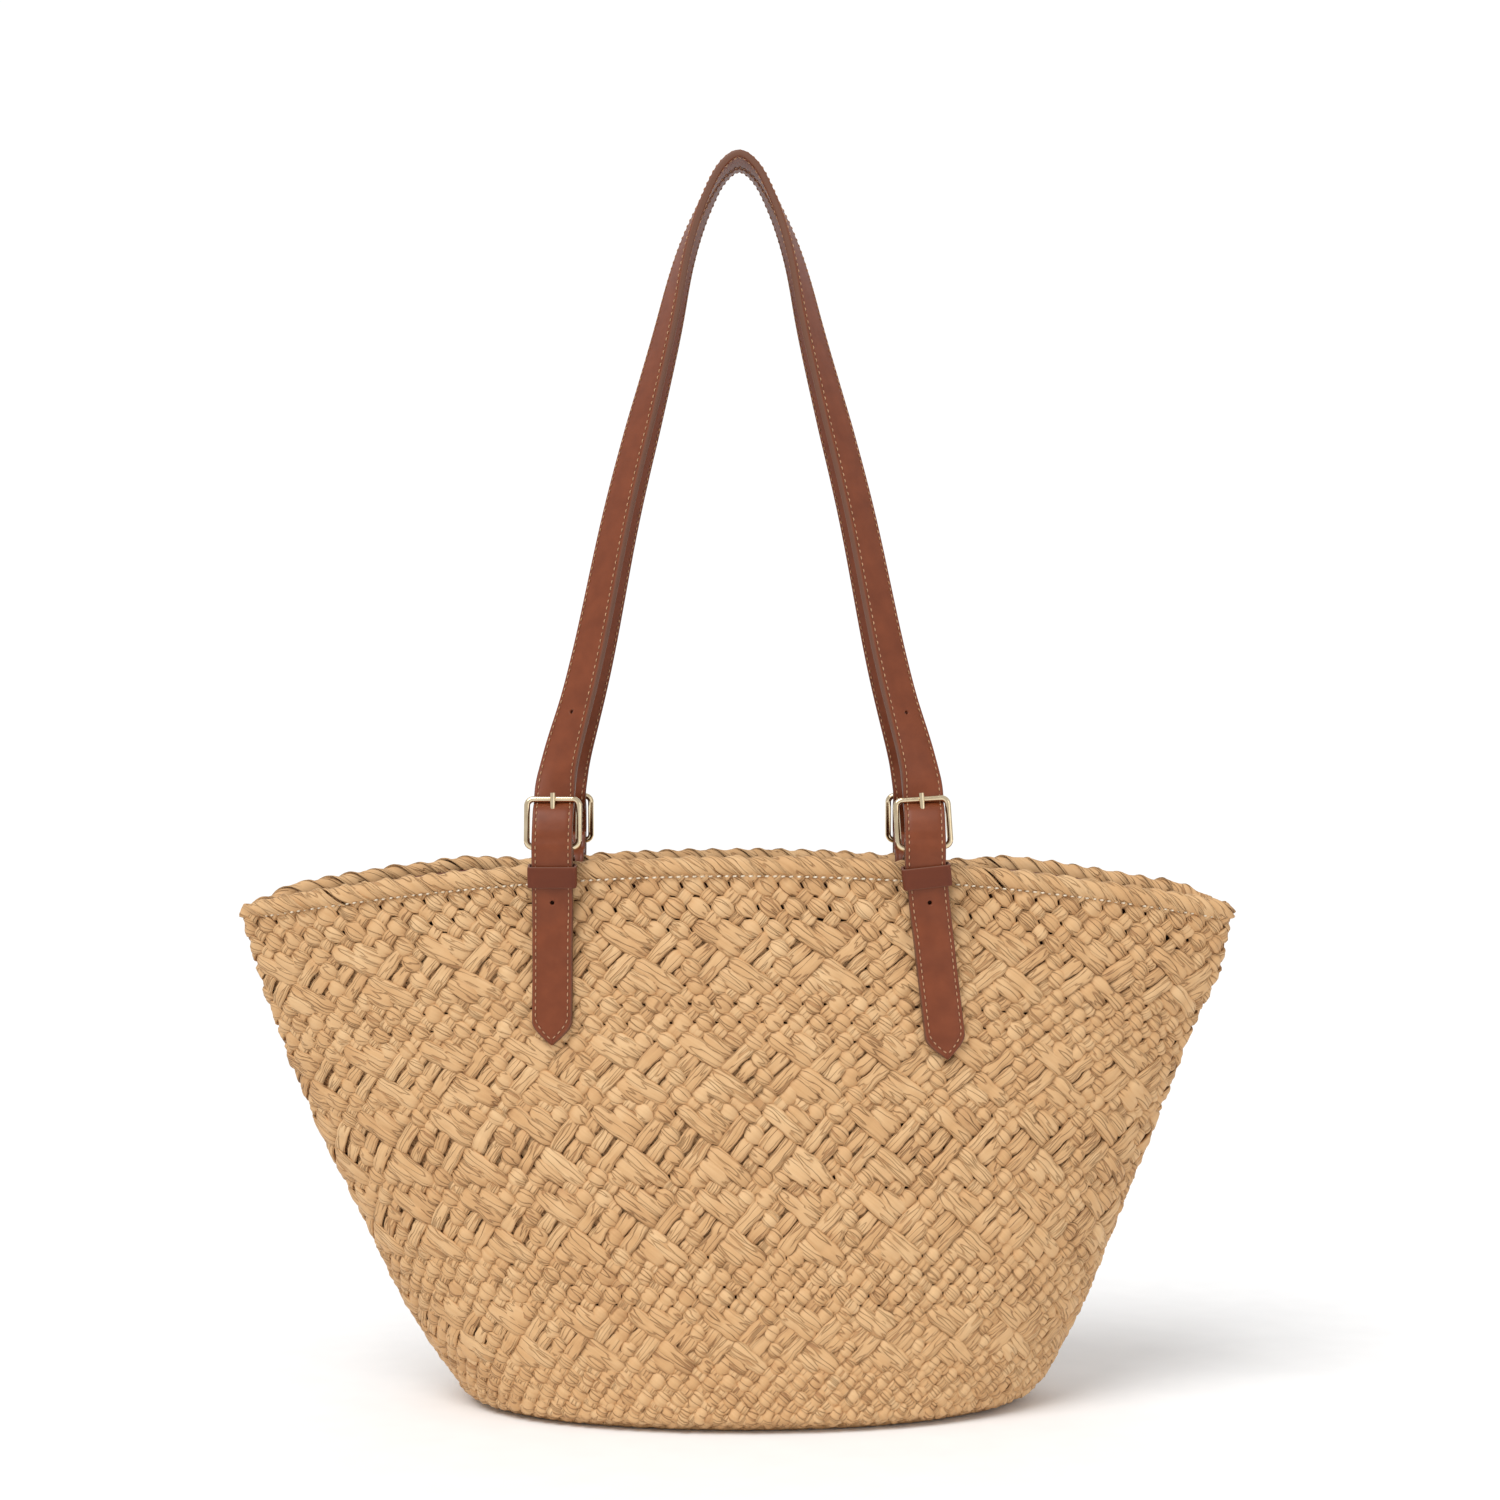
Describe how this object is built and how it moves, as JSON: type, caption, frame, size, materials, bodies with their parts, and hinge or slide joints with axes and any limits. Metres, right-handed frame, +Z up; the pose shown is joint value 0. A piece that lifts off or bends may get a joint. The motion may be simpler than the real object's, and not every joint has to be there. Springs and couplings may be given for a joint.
{
  "type": "beach bag",
  "caption": "Woven straw beach tote with an oval base, a lens-shaped open mouth and two buckled leather shoulder straps held upright.",
  "frame": {"origin": "middle of the base, on the surface that the bag stands on", "axes": "+Z up, +X to the right of a person facing the bag's front, the front faces -Y"},
  "size_m": [0.508, 0.163, 0.6302],
  "materials": {
    "raffia": "woven crinkled paper raffia, straw coloured, satin sheen on the creases",
    "raffia_hem": "raffia overcast along the rim, straw coloured",
    "cream_thread": "cream machine stitching",
    "lining_cotton": "dark brown plain cotton",
    "facing_leather": "chestnut leather tape, smooth",
    "strap_leather": "chestnut smooth leather, semi-gloss, painted edges, tan stitching",
    "tab_leather": "chestnut smooth leather, semi-gloss",
    "keeper_leather": "chestnut smooth leather, semi-gloss",
    "pale_gold": "pale champagne gold plating, polished"
  },
  "bodies": {
    "bag": {"woven_wall": "raffia", "woven_base": "raffia", "rim_hem": "raffia_hem", "rim_seam_thread": "cream_thread", "lining": "lining_cotton", "rim_facing": "facing_leather", "tab_front_left": "tab_leather", "tail_front_left": "strap_leather", "strap_bend_front_left": "strap_leather", "tab_front_right": "tab_leather", "tail_front_right": "strap_leather", "strap_bend_front_right": "strap_leather", "tab_back_left": "tab_leather", "tail_back_left": "strap_leather", "strap_bend_back_left": "strap_leather", "tab_back_right": "tab_leather", "tail_back_right": "strap_leather", "strap_bend_back_right": "strap_leather"},
    "front_handle": {"front_strap_face": "strap_leather", "front_strap_backing": "strap_leather", "buckle_frame_front_left": "pale_gold", "buckle_frame_front_right": "pale_gold"},
    "back_handle": {"back_strap_face": "strap_leather", "back_strap_backing": "strap_leather", "buckle_frame_back_left": "pale_gold", "buckle_frame_back_right": "pale_gold"},
    "tongue_front_left": {"tongue_front_left": "pale_gold"},
    "keeper_front_left": {"keeper_front_left": "keeper_leather"},
    "tongue_front_right": {"tongue_front_right": "pale_gold"},
    "keeper_front_right": {"keeper_front_right": "keeper_leather"},
    "tongue_back_left": {"tongue_back_left": "pale_gold"},
    "keeper_back_left": {"keeper_back_left": "keeper_leather"},
    "tongue_back_right": {"tongue_back_right": "pale_gold"},
    "keeper_back_right": {"keeper_back_right": "keeper_leather"}
  },
  "joints": [
    {"name": "front_handle_swing", "type": "hinge", "parent": "bag", "child": "front_handle", "pos_m": [-0.002, -0.054, 0.2815], "axis": [1, 0, 0], "range_deg": [0, 110], "deforming": ["strap_bend_front_left", "strap_bend_front_right"]},
    {"name": "back_handle_swing", "type": "hinge", "parent": "bag", "child": "back_handle", "pos_m": [-0.002, 0.054, 0.2815], "axis": [-1, 0, 0], "range_deg": [0, 110], "deforming": ["strap_bend_back_left", "strap_bend_back_right"]},
    {"name": "tongue_front_left_lift", "type": "hinge", "parent": "front_handle", "child": "tongue_front_left", "pos_m": [-0.093, -0.054, 0.2815], "axis": [1, 0, 0], "range_deg": [0, 5]},
    {"name": "keeper_front_left_slide", "type": "slide", "parent": "bag", "child": "keeper_front_left", "axis": [0, -0.1676, 0.9859], "range_m": [-0.004, 0.0015]},
    {"name": "tongue_front_right_lift", "type": "hinge", "parent": "front_handle", "child": "tongue_front_right", "pos_m": [0.089, -0.054, 0.2815], "axis": [0.9981, 0.007, 0.0606], "range_deg": [0, 5]},
    {"name": "keeper_front_right_slide", "type": "slide", "parent": "bag", "child": "keeper_front_right", "axis": [-0.1116, -0.1665, 0.9797], "range_m": [-0.004, 0.0015]},
    {"name": "tongue_back_left_lift", "type": "hinge", "parent": "back_handle", "child": "tongue_back_left", "pos_m": [-0.093, 0.054, 0.2815], "axis": [-1, 0, 0], "range_deg": [0, 5]},
    {"name": "keeper_back_left_slide", "type": "slide", "parent": "bag", "child": "keeper_back_left", "axis": [0.0344, 0.1675, 0.9853], "range_m": [-0.004, 0.0015]},
    {"name": "tongue_back_right_lift", "type": "hinge", "parent": "back_handle", "child": "tongue_back_right", "pos_m": [0.089, 0.054, 0.2815], "axis": [-1, 0, 0], "range_deg": [0, 5]},
    {"name": "keeper_back_right_slide", "type": "slide", "parent": "bag", "child": "keeper_back_right", "axis": [-0.0516, 0.1674, 0.9845], "range_m": [-0.004, 0.0015]}
  ]
}
